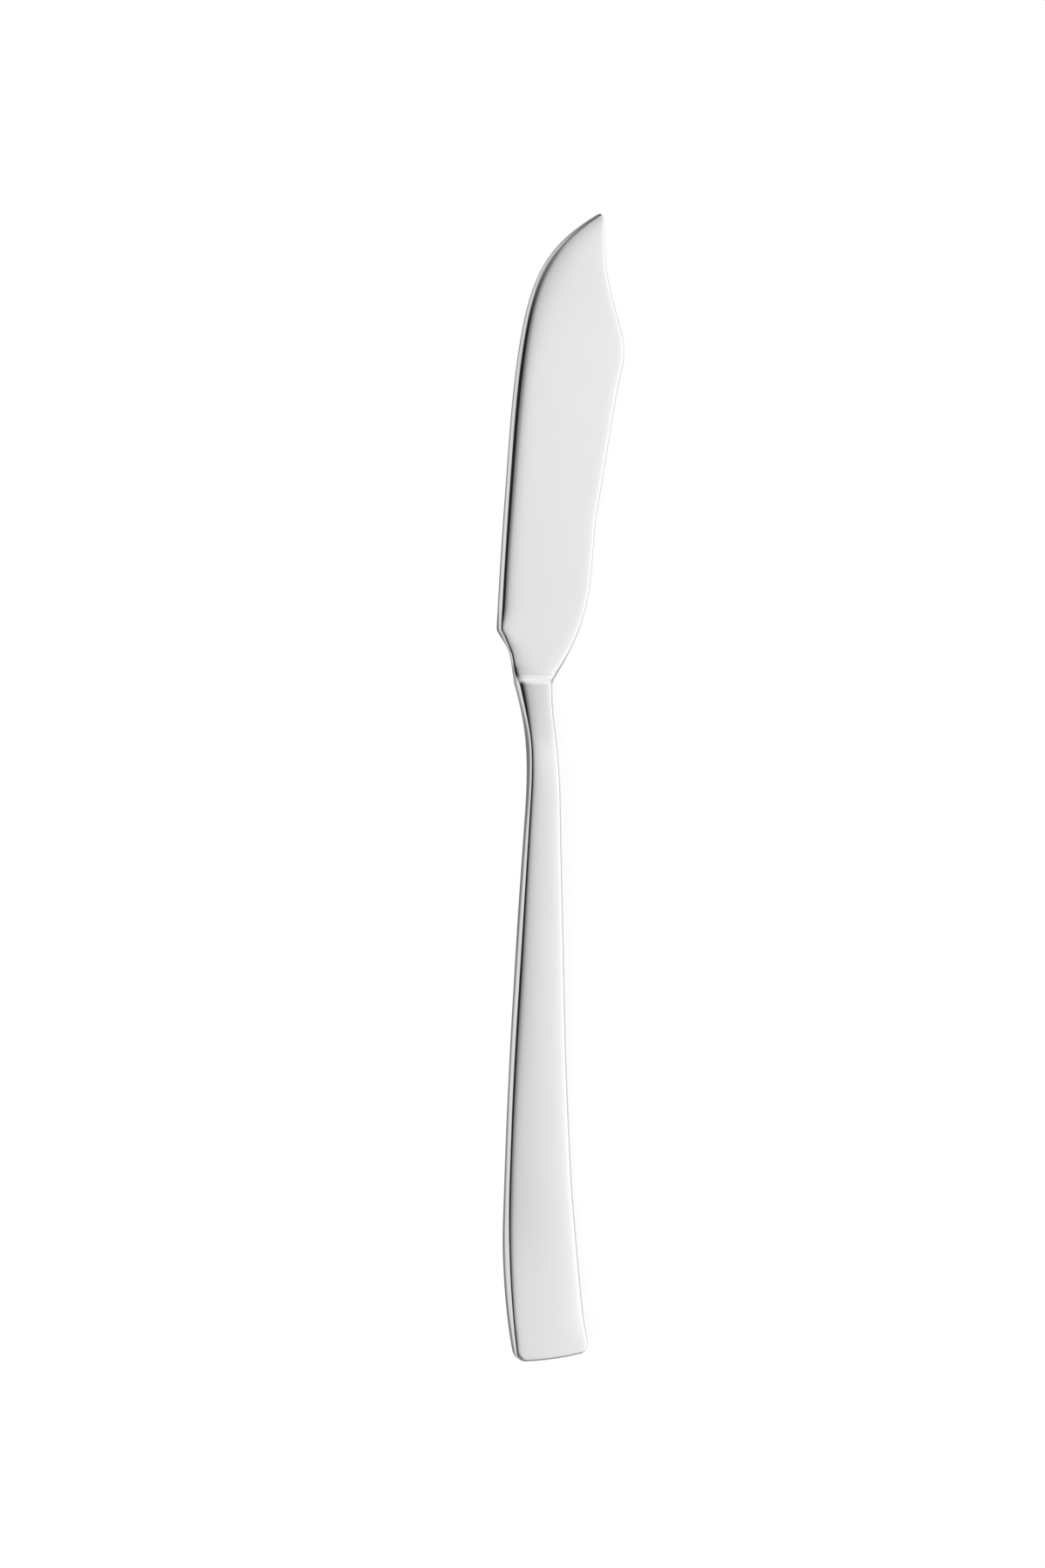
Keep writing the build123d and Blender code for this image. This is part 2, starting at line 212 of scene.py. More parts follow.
def steel_plate(
    name, first, end, second, shares, crisp, rim, roll, under_rim, shade_foot, draft, top, under, gap
):
    """Closed plate from its plan. The face and the underside are nets inside the rims. Round them
    runs a band: a rolled rim at its scale, blended from soft to crisp, a wall that draws in by the
    draft, and a quarter circle in to the underside. Near a rim the face sinks by lean times roll
    times e to the minus distance over roll. The shoulder is closed flat to the tang rectangle,
    grown by the gap, and carried along the tang. The mark of painted shade falls from 1 at the
    underside to 0 past the foot height up the wall, and is 1 over the underside and the tang."""
    loop = np.concatenate([first, end[1:-1], second[::-1]])
    way = np.gradient(loop, axis=0)
    way /= np.linalg.norm(way, axis=1)[:, None]
    inward = np.stack([way[:, 1], -way[:, 0]], axis=1)
    free = ease(np.abs(loop[:, 1] - SHOULDER_Y) / SQUARE_RUN)[:, None]
    lean = np.where(free < 1, inward[:, :1], 1.0)
    square = np.concatenate([1 / lean, np.zeros_like(lean)], axis=1)
    inset = free * inward + (1 - free) * square
    side_count = len(first)
    across = len(shares)

    def face_net(border):
        """Plan net inside a border loop that starts and ends at the shoulder."""
        sides = border[:side_count], border[::-1][:side_count]
        far_row = border[side_count - 1:side_count - 1 + across]
        near_row = (1 - shares[:, None]) * border[0] + shares[:, None] * border[-1]
        return net(sides[0], sides[1], near_row, far_row, shares)

    soft_inset, soft_fall = rim_profile(RIM_ROWS, SOFT_RADII)
    crisp_inset, crisp_fall = rim_profile(RIM_ROWS, CRISP_RADII)
    inset_rows = rim * ((1 - crisp) * soft_inset[:, None] + crisp * crisp_inset[:, None])
    fall_rows = rim * ((1 - crisp) * soft_fall[:, None] + crisp * crisp_fall[:, None])
    rim_plan = loop + inset_rows[..., None] * inset
    inner = rim_plan[0]
    face = face_net(inner)
    first_roll = roll[:side_count, None]
    second_roll = roll[::-1][:side_count, None]
    end_roll = roll[side_count - 1:side_count - 1 + across]
    sunk = first_roll * np.exp(-np.linalg.norm(face - face[:, :1], axis=2) / first_roll)
    sunk += second_roll * np.exp(-np.linalg.norm(face - face[:, -1:], axis=2) / second_roll)
    sunk += end_roll * np.exp(-np.linalg.norm(face - face[-1:], axis=2) / end_roll)
    face_z = top(face) - np.tan(np.radians(RIM_LEAN)) * sunk

    border_z = np.concatenate([face_z[:, 0], face_z[-1, 1:-1], face_z[::-1, -1]])
    rim_z = border_z + top(rim_plan) - top(inner) - fall_rows
    turn = np.linspace(0.0, np.pi / 2, UNDER_ROWS)[:, None]
    draw = draft * np.abs(inward[:, 0])
    foot_plan = loop + (draw + under_rim * (1 - np.cos(turn)))[..., None] * inset
    foot_z = under(foot_plan) + under_rim * (1 - np.sin(turn))
    drop = np.linspace(0.0, 1.0, WALL_ROWS + 2)[1:-1, None]
    wall_z = (1 - drop) * rim_z[-1] + drop * foot_z[0]
    wall_plan = loop + (drop * draw)[..., None] * inset
    band_plan = np.concatenate([rim_plan, wall_plan, foot_plan])
    band_z = np.concatenate([rim_z, wall_z, foot_z])
    base = face_net(foot_plan[-1])

    face_points = np.concatenate([face, face_z[..., None]], axis=2)
    band_points = np.concatenate([band_plan, band_z[..., None]], axis=2)
    base_points = np.concatenate([base, under(base)[..., None]], axis=2)
    section = np.concatenate([
        face_points[0],
        band_points[1:, -1],
        base_points[0, -2::-1],
        band_points[-2::-1, 0],
    ])
    middle = np.array([0.0, SHOULDER_Y, FRONT_HEIGHT / 2])
    half = np.array([TANG_WIDTH / 2 + gap, (TANG_THICKNESS / 2 + gap) / np.cos(TANG_RISE)])
    ray = (section - middle)[:, [0, 2]]
    ray = ray / np.max(np.abs(ray) / half, axis=1)[:, None]
    root = middle + np.stack([ray[:, 0], np.zeros(len(ray)), ray[:, 1]], axis=1)
    tang_way = np.array([0.0, -np.cos(TANG_RISE), np.sin(TANG_RISE)]) * (TANG_LENGTH + gap)
    tang_end = np.broadcast_to(middle + tang_way, section.shape)
    tang_points = np.stack([section, root, root + tang_way, tang_end])

    sheets = [face_points, band_points, base_points[:, ::-1], tang_points]
    # Painted shade: the foot of each wall is marked up to its foot height, and the underside and
    # the tang whole, for a dark colour that stands in for the shaded floor the steel reflects
    # there.
    shade_foot_mark = ease((shade_foot + FOOT_FADE / 2 - band_z + under(band_plan)) / FOOT_FADE)
    tang_mark = np.ones(tang_points.shape[:2])
    tang_mark[0, :across] = 0.0
    tang_mark[0, across:across + len(shade_foot_mark) - 1] = shade_foot_mark[1:, -1]
    tang_mark[0, 1 - len(shade_foot_mark):] = shade_foot_mark[-2::-1, 0]
    marks = [np.zeros(face_z.shape), shade_foot_mark, np.ones(base.shape[:2]), tang_mark]
    faces = []
    count = 0
    for sheet in sheets:
        faces.append(quads(sheet.shape[0], sheet.shape[1], count))
        count += sheet.shape[0] * sheet.shape[1]
    points = np.concatenate([sheet.reshape(-1, 3) for sheet in sheets])
    mesh = bpy.data.meshes.new(name)
    mesh.from_pydata(points.tolist(), [], np.concatenate(faces).tolist())
    shade_foot_data = mesh.attributes.new("shade_foot", "FLOAT", "POINT").data
    shade_foot_data.foreach_set("value", np.concatenate([mark.ravel() for mark in marks]))
    work = bmesh.new()
    work.from_mesh(mesh)
    bmesh.ops.remove_doubles(work, verts=work.verts, dist=MERGE_REACH)
    bmesh.ops.recalc_face_normals(work, faces=work.faces)
    work.to_mesh(mesh)
    work.free()
    mesh.polygons.foreach_set("use_smooth", np.ones(len(mesh.polygons), dtype=bool))
    mesh.set_sharp_from_angle(angle=CREASE_ANGLE)
    piece = bpy.data.objects.new(name, mesh)
    bpy.context.scene.collection.objects.link(piece)
    return piece


def blade_top(spot):
    """Height of the blade's face: it thins evenly to the tip, and near the shoulder a quartic cove
    leaves it level and unbent, and reaches the handle's height at the handle's slope."""
    cove_y = SHOULDER_Y + COVE_LENGTH
    thinning = (TIP_THICKNESS - BLADE_THICKNESS) / (TIP_STATION - cove_y)
    flat = BLADE_THICKNESS + thinning * np.maximum(spot[..., 1] - cove_y, 0.0)
    t = np.clip((cove_y - spot[..., 1]) / COVE_LENGTH, 0.0, 1.0)
    lift = (FRONT_HEIGHT - BLADE_THICKNESS) * t**3 * (4 - 3 * t)
    return flat + lift - np.tan(CLIMB) * COVE_LENGTH * t**3 * (1 - t)


def blade_under(spot):
    """The underside of the blade lies flat on the table."""
    return np.zeros(spot.shape[:-1])


edge_way = heading(EDGE_LEAN)
flank_way = heading(np.pi - HEEL_SLANT)
tip_way = heading(np.pi / 2 - TIP_SLANT)
nose_way = heading(np.pi - NOSE_LEAN)
flare_way = heading(np.pi + NECK_FLARE)
taper_way = heading(np.pi - SHOULDER_TAPER)
back_way = (BACK_END - BACK_START) / np.linalg.norm(BACK_END - BACK_START)
heel = np.array([-HEEL_REACH, 0.0])
tip = np.array([TIP_OFFSET, TIP_STATION])
hump = np.array([HUMP_OFFSET, HUMP_STATION])
heel_turn = HEEL_SLANT + EDGE_LEAN
tip_turn = np.pi / 2 + TIP_SLANT - NOSE_LEAN
heel_cut = HEEL_RADIUS * np.tan(heel_turn / 2)
tip_cut = TIP_RADIUS * np.tan(tip_turn / 2)
shoulder_left = np.array([-SHOULDER_HALF_WIDTH, SHOULDER_Y])
shoulder_right = np.array([SHOULDER_HALF_WIDTH, SHOULDER_Y])
flank_end = heel + flank_way * HEEL_FLANK
edge_start = heel + edge_way * heel_cut
tip_start = tip - tip_way * tip_cut
tip_stop = tip + nose_way * tip_cut

blade_edge = np.concatenate([
    fair_line([shoulder_left, NECK_KNOT, flank_end], -taper_way, -flank_way),
    right_bend(heel + flank_way * heel_cut, -flank_way, heel_turn, HEEL_RADIUS),
    fair_line([edge_start, *EDGE_KNOTS, tip_start], edge_way, tip_way),
])
blade_tip = right_bend(tip_start, tip_way, tip_turn, TIP_RADIUS)
blade_back = np.concatenate([
    fair_line([shoulder_right, *FLARE_KNOTS, BACK_START], -flare_way, back_way),
    fair_line([BACK_END, hump], back_way, heading(0.0)),
    fair_line([hump, *NOSE_KNOTS, tip_stop], heading(0.0), -nose_way),
])
side_shares = np.linspace(0.0, 1.0, SIDE_COUNT)
even_shares = np.linspace(0.0, 1.0, ACROSS_COUNT)
across_shares = even_shares - SHARE_CROWDING * np.sin(2 * np.pi * even_shares)
end_count = ACROSS_COUNT - 2
edge_line = spaced(blade_edge, side_shares)
tip_line = spaced(blade_tip, across_shares)
back_line = spaced(blade_back, side_shares)
edge_swell = neck_swell(edge_line[:, 1])
edge_line[:, 0] -= edge_swell


def by_station(at, stations, values):
    """Values at places along a side: a smooth step between each two stations."""
    stations = np.asarray(stations)
    values = np.asarray(values)
    place = np.clip(np.searchsorted(stations, at, side="right") - 1, 0, len(stations) - 2)
    share = ease((at - stations[place]) / (stations[place + 1] - stations[place]))
    return values[place] * (1 - share) + values[place + 1] * share


def blade_round(edge_values, back_values):
    """Values round the blade: up the edge by station, across the tip evenly and down the back."""
    up = by_station(edge_line[:, 1], EDGE_STATIONS, edge_values)
    over = np.linspace(edge_values[-1], back_values[-1], end_count)
    down = by_station(back_line[::-1, 1], BACK_STATIONS, back_values)
    return np.concatenate([up, over, down])


blade = steel_plate(
    "blade_plate",
    first=edge_line,
    end=tip_line,
    second=back_line,
    shares=across_shares,
    crisp=blade_round(np.zeros(len(EDGE_STATIONS)), np.ones(len(BACK_STATIONS))),
    rim=blade_round(EDGE_RIMS, BACK_RIMS),
    roll=blade_round(EDGE_ROLLS, BACK_ROLLS),
    under_rim=UNDER_RIM,
    shade_foot=blade_round(EDGE_FEET, BACK_FEET),
    draft=np.concatenate([edge_swell, np.zeros(end_count + SIDE_COUNT)]),
    top=blade_top,
    under=blade_under,
    gap=0.0,
)
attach(blade, "root")
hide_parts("blade")

BRIGHT_STEEL = (0.80, 0.80, 0.80, 1.0)
DULL_STEEL = (0.785, 0.785, 0.785, 1.0)
# Painted shade: a dark steel colour laid over the foot of the walls and over the underside.
PAINTED_SHADE_STEEL = (0.19, 0.19, 0.19, 1.0)
FOOT_ROUGHNESS_GAIN = 0.12
LINE_STRETCH = 0.03
LINE_DETAIL = 3.0
LINE_DEPTH = 0.0000006
HAZE_PER_METRE = 90.0
HAZE_DETAIL = 4.0
HAZE_LOW = 0.3
HAZE_HIGH = 0.7


def polish_marks():
    """Node group: fine lines drawn along Y, from noise squeezed across them, and a slow haze."""
    group = bpy.data.node_groups.new("polish_marks", "ShaderNodeTree")
    face = group.interface
    face.new_socket("Vector", in_out="INPUT", socket_type="NodeSocketVector")
    face.new_socket("Lines per metre", in_out="INPUT", socket_type="NodeSocketFloat")
    face.new_socket("Stretch", in_out="INPUT", socket_type="NodeSocketFloat")
    face.new_socket("Lines", in_out="OUTPUT", socket_type="NodeSocketFloat")
    face.new_socket("Haze", in_out="OUTPUT", socket_type="NodeSocketFloat")
    nodes = group.nodes
    links = group.links
    source = nodes.new("NodeGroupInput")
    result = nodes.new("NodeGroupOutput")
    squeeze = nodes.new("ShaderNodeCombineXYZ")
    squeeze.inputs["X"].default_value = 1.0
    squeeze.inputs["Z"].default_value = 1.0
    links.new(source.outputs["Stretch"], squeeze.inputs["Y"])
    drawn = nodes.new("ShaderNodeVectorMath")
    drawn.operation = "MULTIPLY"
    links.new(source.outputs["Vector"], drawn.inputs[0])
    links.new(squeeze.outputs["Vector"], drawn.inputs[1])
    line_noise = nodes.new("ShaderNodeTexNoise")
    line_noise.inputs["Detail"].default_value = LINE_DETAIL
    links.new(drawn.outputs["Vector"], line_noise.inputs["Vector"])
    links.new(source.outputs["Lines per metre"], line_noise.inputs["Scale"])
    haze_noise = nodes.new("ShaderNodeTexNoise")
    haze_noise.inputs["Scale"].default_value = HAZE_PER_METRE
    haze_noise.inputs["Detail"].default_value = HAZE_DETAIL
    links.new(source.outputs["Vector"], haze_noise.inputs["Vector"])
    links.new(line_noise.outputs["Fac"], result.inputs["Lines"])
    links.new(haze_noise.outputs["Fac"], result.inputs["Haze"])
    return group


def polished_steel(name, lines_per_metre, smooth, worn):
    """Mirror-polished steel: lines and haze shift the colour and the gloss a little, the foot of
    the walls and the underside carry painted shade, a dark colour, and are a little rougher, and
    the lines lift the surface by a hair."""
    material = bpy.data.materials.new(name)
    material.use_nodes = True
    nodes = material.node_tree.nodes
    links = material.node_tree.links
    shader = nodes["Principled BSDF"]
    shader.inputs["Metallic"].default_value = 1.0
    place = nodes.new("ShaderNodeTexCoord")
    marks = nodes.new("ShaderNodeGroup")
    marks.node_tree = bpy.data.node_groups.get("polish_marks") or polish_marks()
    marks.inputs["Lines per metre"].default_value = lines_per_metre
    marks.inputs["Stretch"].default_value = LINE_STRETCH
    links.new(place.outputs["Object"], marks.inputs["Vector"])
    tone = nodes.new("ShaderNodeMix")
    tone.data_type = "RGBA"
    tone.inputs["A"].default_value = DULL_STEEL
    tone.inputs["B"].default_value = BRIGHT_STEEL
    links.new(marks.outputs["Lines"], tone.inputs["Factor"])
    # Painted shade: the foot mark blends the dark colour into the foot of the walls and the
    # underside, which also turn a little rougher.
    shade_foot_mark = nodes.new("ShaderNodeAttribute")
    shade_foot_mark.attribute_name = "shade_foot"
    painted_shade_mix = nodes.new("ShaderNodeMix")
    painted_shade_mix.data_type = "RGBA"
    painted_shade_mix.inputs["B"].default_value = PAINTED_SHADE_STEEL
    links.new(shade_foot_mark.outputs["Fac"], painted_shade_mix.inputs["Factor"])
    links.new(tone.outputs["Result"], painted_shade_mix.inputs["A"])
    links.new(painted_shade_mix.outputs["Result"], shader.inputs["Base Color"])
    gloss = nodes.new("ShaderNodeMapRange")
    gloss.inputs["From Min"].default_value = HAZE_LOW
    gloss.inputs["From Max"].default_value = HAZE_HIGH
    gloss.inputs["To Min"].default_value = smooth
    gloss.inputs["To Max"].default_value = worn
    links.new(marks.outputs["Haze"], gloss.inputs["Value"])
    dulled = nodes.new("ShaderNodeMath")
    dulled.operation = "MULTIPLY_ADD"
    dulled.inputs[1].default_value = FOOT_ROUGHNESS_GAIN
    links.new(shade_foot_mark.outputs["Fac"], dulled.inputs[0])
    links.new(gloss.outputs["Result"], dulled.inputs[2])
    links.new(dulled.outputs["Value"], shader.inputs["Roughness"])
    relief = nodes.new("ShaderNodeBump")
    relief.inputs["Strength"].default_value = 1.0
    relief.inputs["Distance"].default_value = LINE_DEPTH
    links.new(marks.outputs["Lines"], relief.inputs["Height"])
    links.new(relief.outputs["Normal"], shader.inputs["Normal"])
    return material


blade_steel = polished_steel("blade_steel", lines_per_metre=9000.0, smooth=0.10, worn=0.15)
blade.data.materials.append(blade_steel)

# Handle: a solid bar of the same steel, crowned across and waved along, that climbs from the neck,
# crests, sinks to the table and turns up at its flared square end. It is forged with a blind slot
# for the blade's tang, brazed there, and polished together with the blade.

# Outline in plan
HANDLE_LENGTH = 0.1217
WAIST_HALF_WIDTH = 0.0029
WAIST_STATION = 0.0090
FLANK_HALF_WIDTH = 0.0034
FLANK_STATION = 0.0210
FLARE_LENGTH = 0.0267
FLARE_GAIN = 0.00054
END_HALF_WIDTH = 0.0076
END_BOW_RADIUS = 0.070
END_CORNER_RADIUS = 0.0020
END_Y = SHOULDER_Y - HANDLE_LENGTH
# Waves of the top and the underside, and the crown
HANDLE_THICKNESS = 0.0029
CREST_RADIUS = 0.050
REST_LENGTH = 0.0501
REST_RADIUS = 0.360
TOP_FALL = np.radians(3.1)
TOP_TAIL_RISE = np.radians(13.5)
TOP_TAIL_LENGTH = 0.0160
TOP_TAIL_RADIUS = 0.150
UNDER_CLIMB = np.radians(17.0)
UNDER_FALL = np.radians(4.1)
UNDER_TAIL_RISE = np.radians(25.5)
UNDER_TAIL_LENGTH = 0.0106
UNDER_TAIL_RADIUS = 0.060
CROWN_RADIUS = 0.190
CROWN_START = 0.006
TAIL_CROWN = 0.30
TAIL_CROWN_START = 0.090
TAIL_CROWN_FULL = 0.108
# Along each side: scale of the rim, sag beside it, draft of the left wall, height of the painted
# shade at the foot
LEFT_STATIONS = (0.0, 0.010, 0.018, 0.060, 0.090, HANDLE_LENGTH)
LEFT_RIMS = (0.95, 0.38, 0.42, 0.62, 0.46, 0.30)
LEFT_ROLLS = (0.0012, 0.0006, 0.0007, 0.0010, 0.0006, 0.0004)
LEFT_CRISP_RUN = 0.006
RIGHT_STATIONS = (0.0, 0.012, 0.030, HANDLE_LENGTH)
RIGHT_RIMS = (1.25, 0.95, 1.10, 1.10)
RIGHT_ROLLS = (0.0008, 0.0006, 0.0010, 0.0013)
END_RIM = 0.50
END_ROLL = 0.0004
END_RUN = 0.008
DRAFT_STATIONS = (0.035, 0.075, 0.104, HANDLE_LENGTH)
DRAFTS = (0.0, 0.00035, 0.00035, 0.0001)
HANDLE_UNDER_RIM = 0.0004
FOOT_STATIONS = (0.0, 0.008, 0.030, 0.060, 0.095, HANDLE_LENGTH)
HANDLE_FEET = (0.0018, 0.0017, 0.0012, 0.0012, 0.0013, 0.0014)
BRAZE_GAP = 0.0001
BOW_STEPS = 600


def wave(y, start_height, rest_height, rise, fall, tail_rise, tail_length, tail_radius):
    """Height along the handle: straight climb, fall, rest and tail, with a circular arc set
    tangent to both straights at each of the three turns between them."""
    s = SHOULDER_Y - y
    climb = np.tan(rise)
    drop = np.tan(fall)
    rest_s = HANDLE_LENGTH - REST_LENGTH
    turn_s = HANDLE_LENGTH - tail_length
    run = (rest_height - start_height + drop * rest_s) / (climb + drop)
    crest = np.array([run, start_height + climb * run])
    rest = np.array([rest_s, rest_height])
    turn = np.array([turn_s, rest_height])
    slopes = np.array([rise, -fall, 0.0, tail_rise])
    height = np.where(s < run, start_height + climb * s, crest[1] - drop * (s - run))
    height = np.where(s > rest_s, rest_height, height)
    height = np.where(s > turn_s, rest_height + np.tan(slopes[3]) * (s - turn_s), height)
    radii = (CREST_RADIUS, REST_RADIUS, tail_radius)
    for corner, radius, before, after in zip((crest, rest, turn), radii, slopes, slopes[1:]):
        bend = np.sign(after - before)
        reach = radius * np.tan(abs(after - before) / 2)
        start = corner - reach * np.array([np.cos(before), np.sin(before)])
        centre = start + bend * radius * np.array([-np.sin(before), np.cos(before)])
        arc_end = corner[0] + reach * np.cos(after)
        depth = np.sqrt(np.maximum(radius**2 - (s - centre[0]) ** 2, 0.0))
        on_arc = (s > start[0]) & (s < arc_end)
        height = np.where(on_arc, centre[1] - bend * depth, height)
    return height


def handle_top(spot):
    """Height of the handle's face: the top wave less the sag of a crown circle, which fades in
    behind the shoulder and flattens at the tail."""
    line = wave(
        spot[..., 1],
        start_height=FRONT_HEIGHT,
        rest_height=HANDLE_THICKNESS,
        rise=CLIMB,
        fall=TOP_FALL,
        tail_rise=TOP_TAIL_RISE,
        tail_length=TOP_TAIL_LENGTH,
        tail_radius=TOP_TAIL_RADIUS,
    )
    crown = CROWN_RADIUS - np.sqrt(CROWN_RADIUS**2 - spot[..., 0] ** 2)
    s = SHOULDER_Y - spot[..., 1]
    tail = ease((s - TAIL_CROWN_START) / (TAIL_CROWN_FULL - TAIL_CROWN_START))
    return line - crown * ease(s / CROWN_START) * (1 - (1 - TAIL_CROWN) * tail)


def handle_under(spot):
    """Height of the handle's underside: its own, steeper wave, which rests on the table."""
    return wave(
        spot[..., 1],
        start_height=0.0,
        rest_height=0.0,
        rise=UNDER_CLIMB,
        fall=UNDER_FALL,
        tail_rise=UNDER_TAIL_RISE,
        tail_length=UNDER_TAIL_LENGTH,
        tail_radius=UNDER_TAIL_RADIUS,
    )


corner_x = END_HALF_WIDTH - END_CORNER_RADIUS
bow_y = END_Y + END_BOW_RADIUS
corner_y = bow_y - np.sqrt((END_BOW_RADIUS - END_CORNER_RADIUS) ** 2 - corner_x**2)
bow_angle = np.arctan2(corner_x, bow_y - corner_y)
flank_start = np.array([FLANK_HALF_WIDTH, SHOULDER_Y - FLANK_STATION])
flank_stop = np.array([END_HALF_WIDTH - FLARE_GAIN, END_Y + FLARE_LENGTH])
flank_run = (flank_stop - flank_start) / np.linalg.norm(flank_stop - flank_start)
corner_start = np.array([END_HALF_WIDTH, corner_y])
corner_arc = right_bend(corner_start, heading(np.pi), np.pi / 2 - bow_angle, END_CORNER_RADIUS)
half_corner = len(corner_arc) // 2
handle_side = np.concatenate([
    fair_line(
        [shoulder_right, (WAIST_HALF_WIDTH, SHOULDER_Y - WAIST_STATION), flank_start],
        heading(np.pi + SHOULDER_TAPER),
        flank_run,
    ),
    fair_line([flank_stop, corner_start], flank_run, heading(np.pi)),
    corner_arc[1:half_corner],
])
bow_turn = np.linspace(bow_angle, -bow_angle, BOW_STEPS)
bow_ray = np.stack([np.sin(bow_turn), -np.cos(bow_turn)], axis=1)
bow = np.array([0.0, bow_y]) + END_BOW_RADIUS * bow_ray
mirrored = np.array([-1.0, 1.0])
left_corner = (corner_arc * mirrored)[:half_corner - 2:-1]
handle_end = np.concatenate([corner_arc[half_corner - 1:], bow[1:-1], left_corner])
side_line = spaced(handle_side, side_shares)
end_line = spaced(handle_end, across_shares)
side_swell = neck_swell(side_line[:, 1])
left_line = side_line * mirrored
left_line[:, 0] -= side_swell
side_s = SHOULDER_Y - side_line[:, 1]


def handle_round(right_values, left_values, end_value):
    """Values round the handle: down each side by station, easing to the end's value, and across."""
    near_end = ease((HANDLE_LENGTH - side_s) / END_RUN)
    right = end_value + (by_station(side_s, RIGHT_STATIONS, right_values) - end_value) * near_end
    left = end_value + (by_station(side_s, LEFT_STATIONS, left_values) - end_value) * near_end
    return np.concatenate([right, np.full(end_count, end_value), left[::-1]])


side_foot = by_station(side_s, FOOT_STATIONS, HANDLE_FEET)
end_foot = np.full(end_count, HANDLE_FEET[-1])
left_crisp = 1 - ease((HANDLE_LENGTH - side_s) / LEFT_CRISP_RUN)
side_draft = by_station(side_s, DRAFT_STATIONS, DRAFTS)
left_draft = side_swell + side_draft
end_draft = np.linspace(0.0, side_draft[-1], end_count)
handle = steel_plate(
    "handle_bar",
    first=side_line,
    end=end_line,
    second=left_line,
    shares=across_shares,
    crisp=np.concatenate([np.ones(SIDE_COUNT + end_count), left_crisp[::-1]]),
    rim=handle_round(RIGHT_RIMS, LEFT_RIMS, END_RIM),
    roll=handle_round(RIGHT_ROLLS, LEFT_ROLLS, END_ROLL),
    under_rim=HANDLE_UNDER_RIM,
    shade_foot=np.concatenate([side_foot, end_foot, side_foot[::-1]]),
    draft=np.concatenate([np.zeros(SIDE_COUNT), end_draft, left_draft[::-1]]),
    top=handle_top,
    under=handle_under,
    gap=BRAZE_GAP,
)
handle_steel = polished_steel("handle_steel", lines_per_metre=8000.0, smooth=0.10, worn=0.16)
handle.data.materials.append(handle_steel)
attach(handle, "root")
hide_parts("handle")

# Braze: a thin film of silver brazing alloy that fills the slot round the tang.
# It is drawn in hot between the two steel faces and stays hidden inside the joint.
BRAZE_DARK = (0.78, 0.70, 0.52, 1.0)
BRAZE_PALE = (0.86, 0.82, 0.68, 1.0)
BRAZE_SMOOTH = 0.28
BRAZE_ROUGH = 0.50
BRAZE_FLOW_PER_METRE = 1400.0
BRAZE_FLOW_DETAIL = 5.0
BRAZE_RELIEF_STRENGTH = 0.4
BRAZE_RELIEF_DEPTH = 0.00002

braze_alloy = bpy.data.materials.new("braze_alloy")
braze_alloy.use_nodes = True
braze_nodes = braze_alloy.node_tree.nodes
braze_links = braze_alloy.node_tree.links
braze_shader = braze_nodes["Principled BSDF"]
braze_shader.inputs["Metallic"].default_value = 1.0
braze_place = braze_nodes.new("ShaderNodeTexCoord")
braze_flow = braze_nodes.new("ShaderNodeTexNoise")
braze_flow.inputs["Scale"].default_value = BRAZE_FLOW_PER_METRE
braze_flow.inputs["Detail"].default_value = BRAZE_FLOW_DETAIL
braze_links.new(braze_place.outputs["Object"], braze_flow.inputs["Vector"])
braze_tone = braze_nodes.new("ShaderNodeMix")
braze_tone.data_type = "RGBA"
braze_tone.inputs["A"].default_value = BRAZE_DARK
braze_tone.inputs["B"].default_value = BRAZE_PALE
braze_links.new(braze_flow.outputs["Fac"], braze_tone.inputs["Factor"])
braze_links.new(braze_tone.outputs["Result"], braze_shader.inputs["Base Color"])
braze_gloss = braze_nodes.new("ShaderNodeMapRange")
braze_gloss.inputs["To Min"].default_value = BRAZE_SMOOTH
braze_gloss.inputs["To Max"].default_value = BRAZE_ROUGH
braze_links.new(braze_flow.outputs["Fac"], braze_gloss.inputs["Value"])
braze_links.new(braze_gloss.outputs["Result"], braze_shader.inputs["Roughness"])
braze_relief = braze_nodes.new("ShaderNodeBump")
braze_relief.inputs["Strength"].default_value = BRAZE_RELIEF_STRENGTH
braze_relief.inputs["Distance"].default_value = BRAZE_RELIEF_DEPTH
braze_links.new(braze_flow.outputs["Fac"], braze_relief.inputs["Height"])
braze_links.new(braze_relief.outputs["Normal"], braze_shader.inputs["Normal"])
braze_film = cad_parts["braze_film"]
braze_film.data.materials.clear()
braze_film.data.materials.append(braze_alloy)

# Table top: a wide pale sheet that the knife lies on. It shows as white to the camera and in the
# steel, and keeps part of its own shading, so that the knife's soft shadow stays on it.
FLOOR_HALF = 4.0
FLOOR_COUNT = 9
FLOOR_COLOUR = (0.9, 0.9, 0.9, 1.0)
FLOOR_DROP = 0.00008
FLOOR_SHOWN = 0.88
FLOOR_MIRRORED = 0.35
FLOOR_GLOW = 1.06

floor_mesh = bpy.data.meshes.new("table_top")
floor_span = np.linspace(-FLOOR_HALF, FLOOR_HALF, FLOOR_COUNT)
floor_x, floor_y = np.meshgrid(floor_span, floor_span)
floor_points = np.stack([floor_x, floor_y, np.full(floor_x.shape, -FLOOR_DROP)], axis=-1)
floor_faces = quads(FLOOR_COUNT, FLOOR_COUNT, 0)
floor_mesh.from_pydata(floor_points.reshape(-1, 3).tolist(), [], floor_faces.tolist())
floor = bpy.data.objects.new("table_top", floor_mesh)
bpy.context.scene.collection.objects.link(floor)
pale = bpy.data.materials.new("pale_table")
pale.use_nodes = True
pale_nodes = pale.node_tree.nodes
pale_links = pale.node_tree.links
pale_nodes.clear()
pale_out = pale_nodes.new("ShaderNodeOutputMaterial")
pale_lit = pale_nodes.new("ShaderNodeBsdfDiffuse")
pale_lit.inputs["Color"].default_value = FLOOR_COLOUR
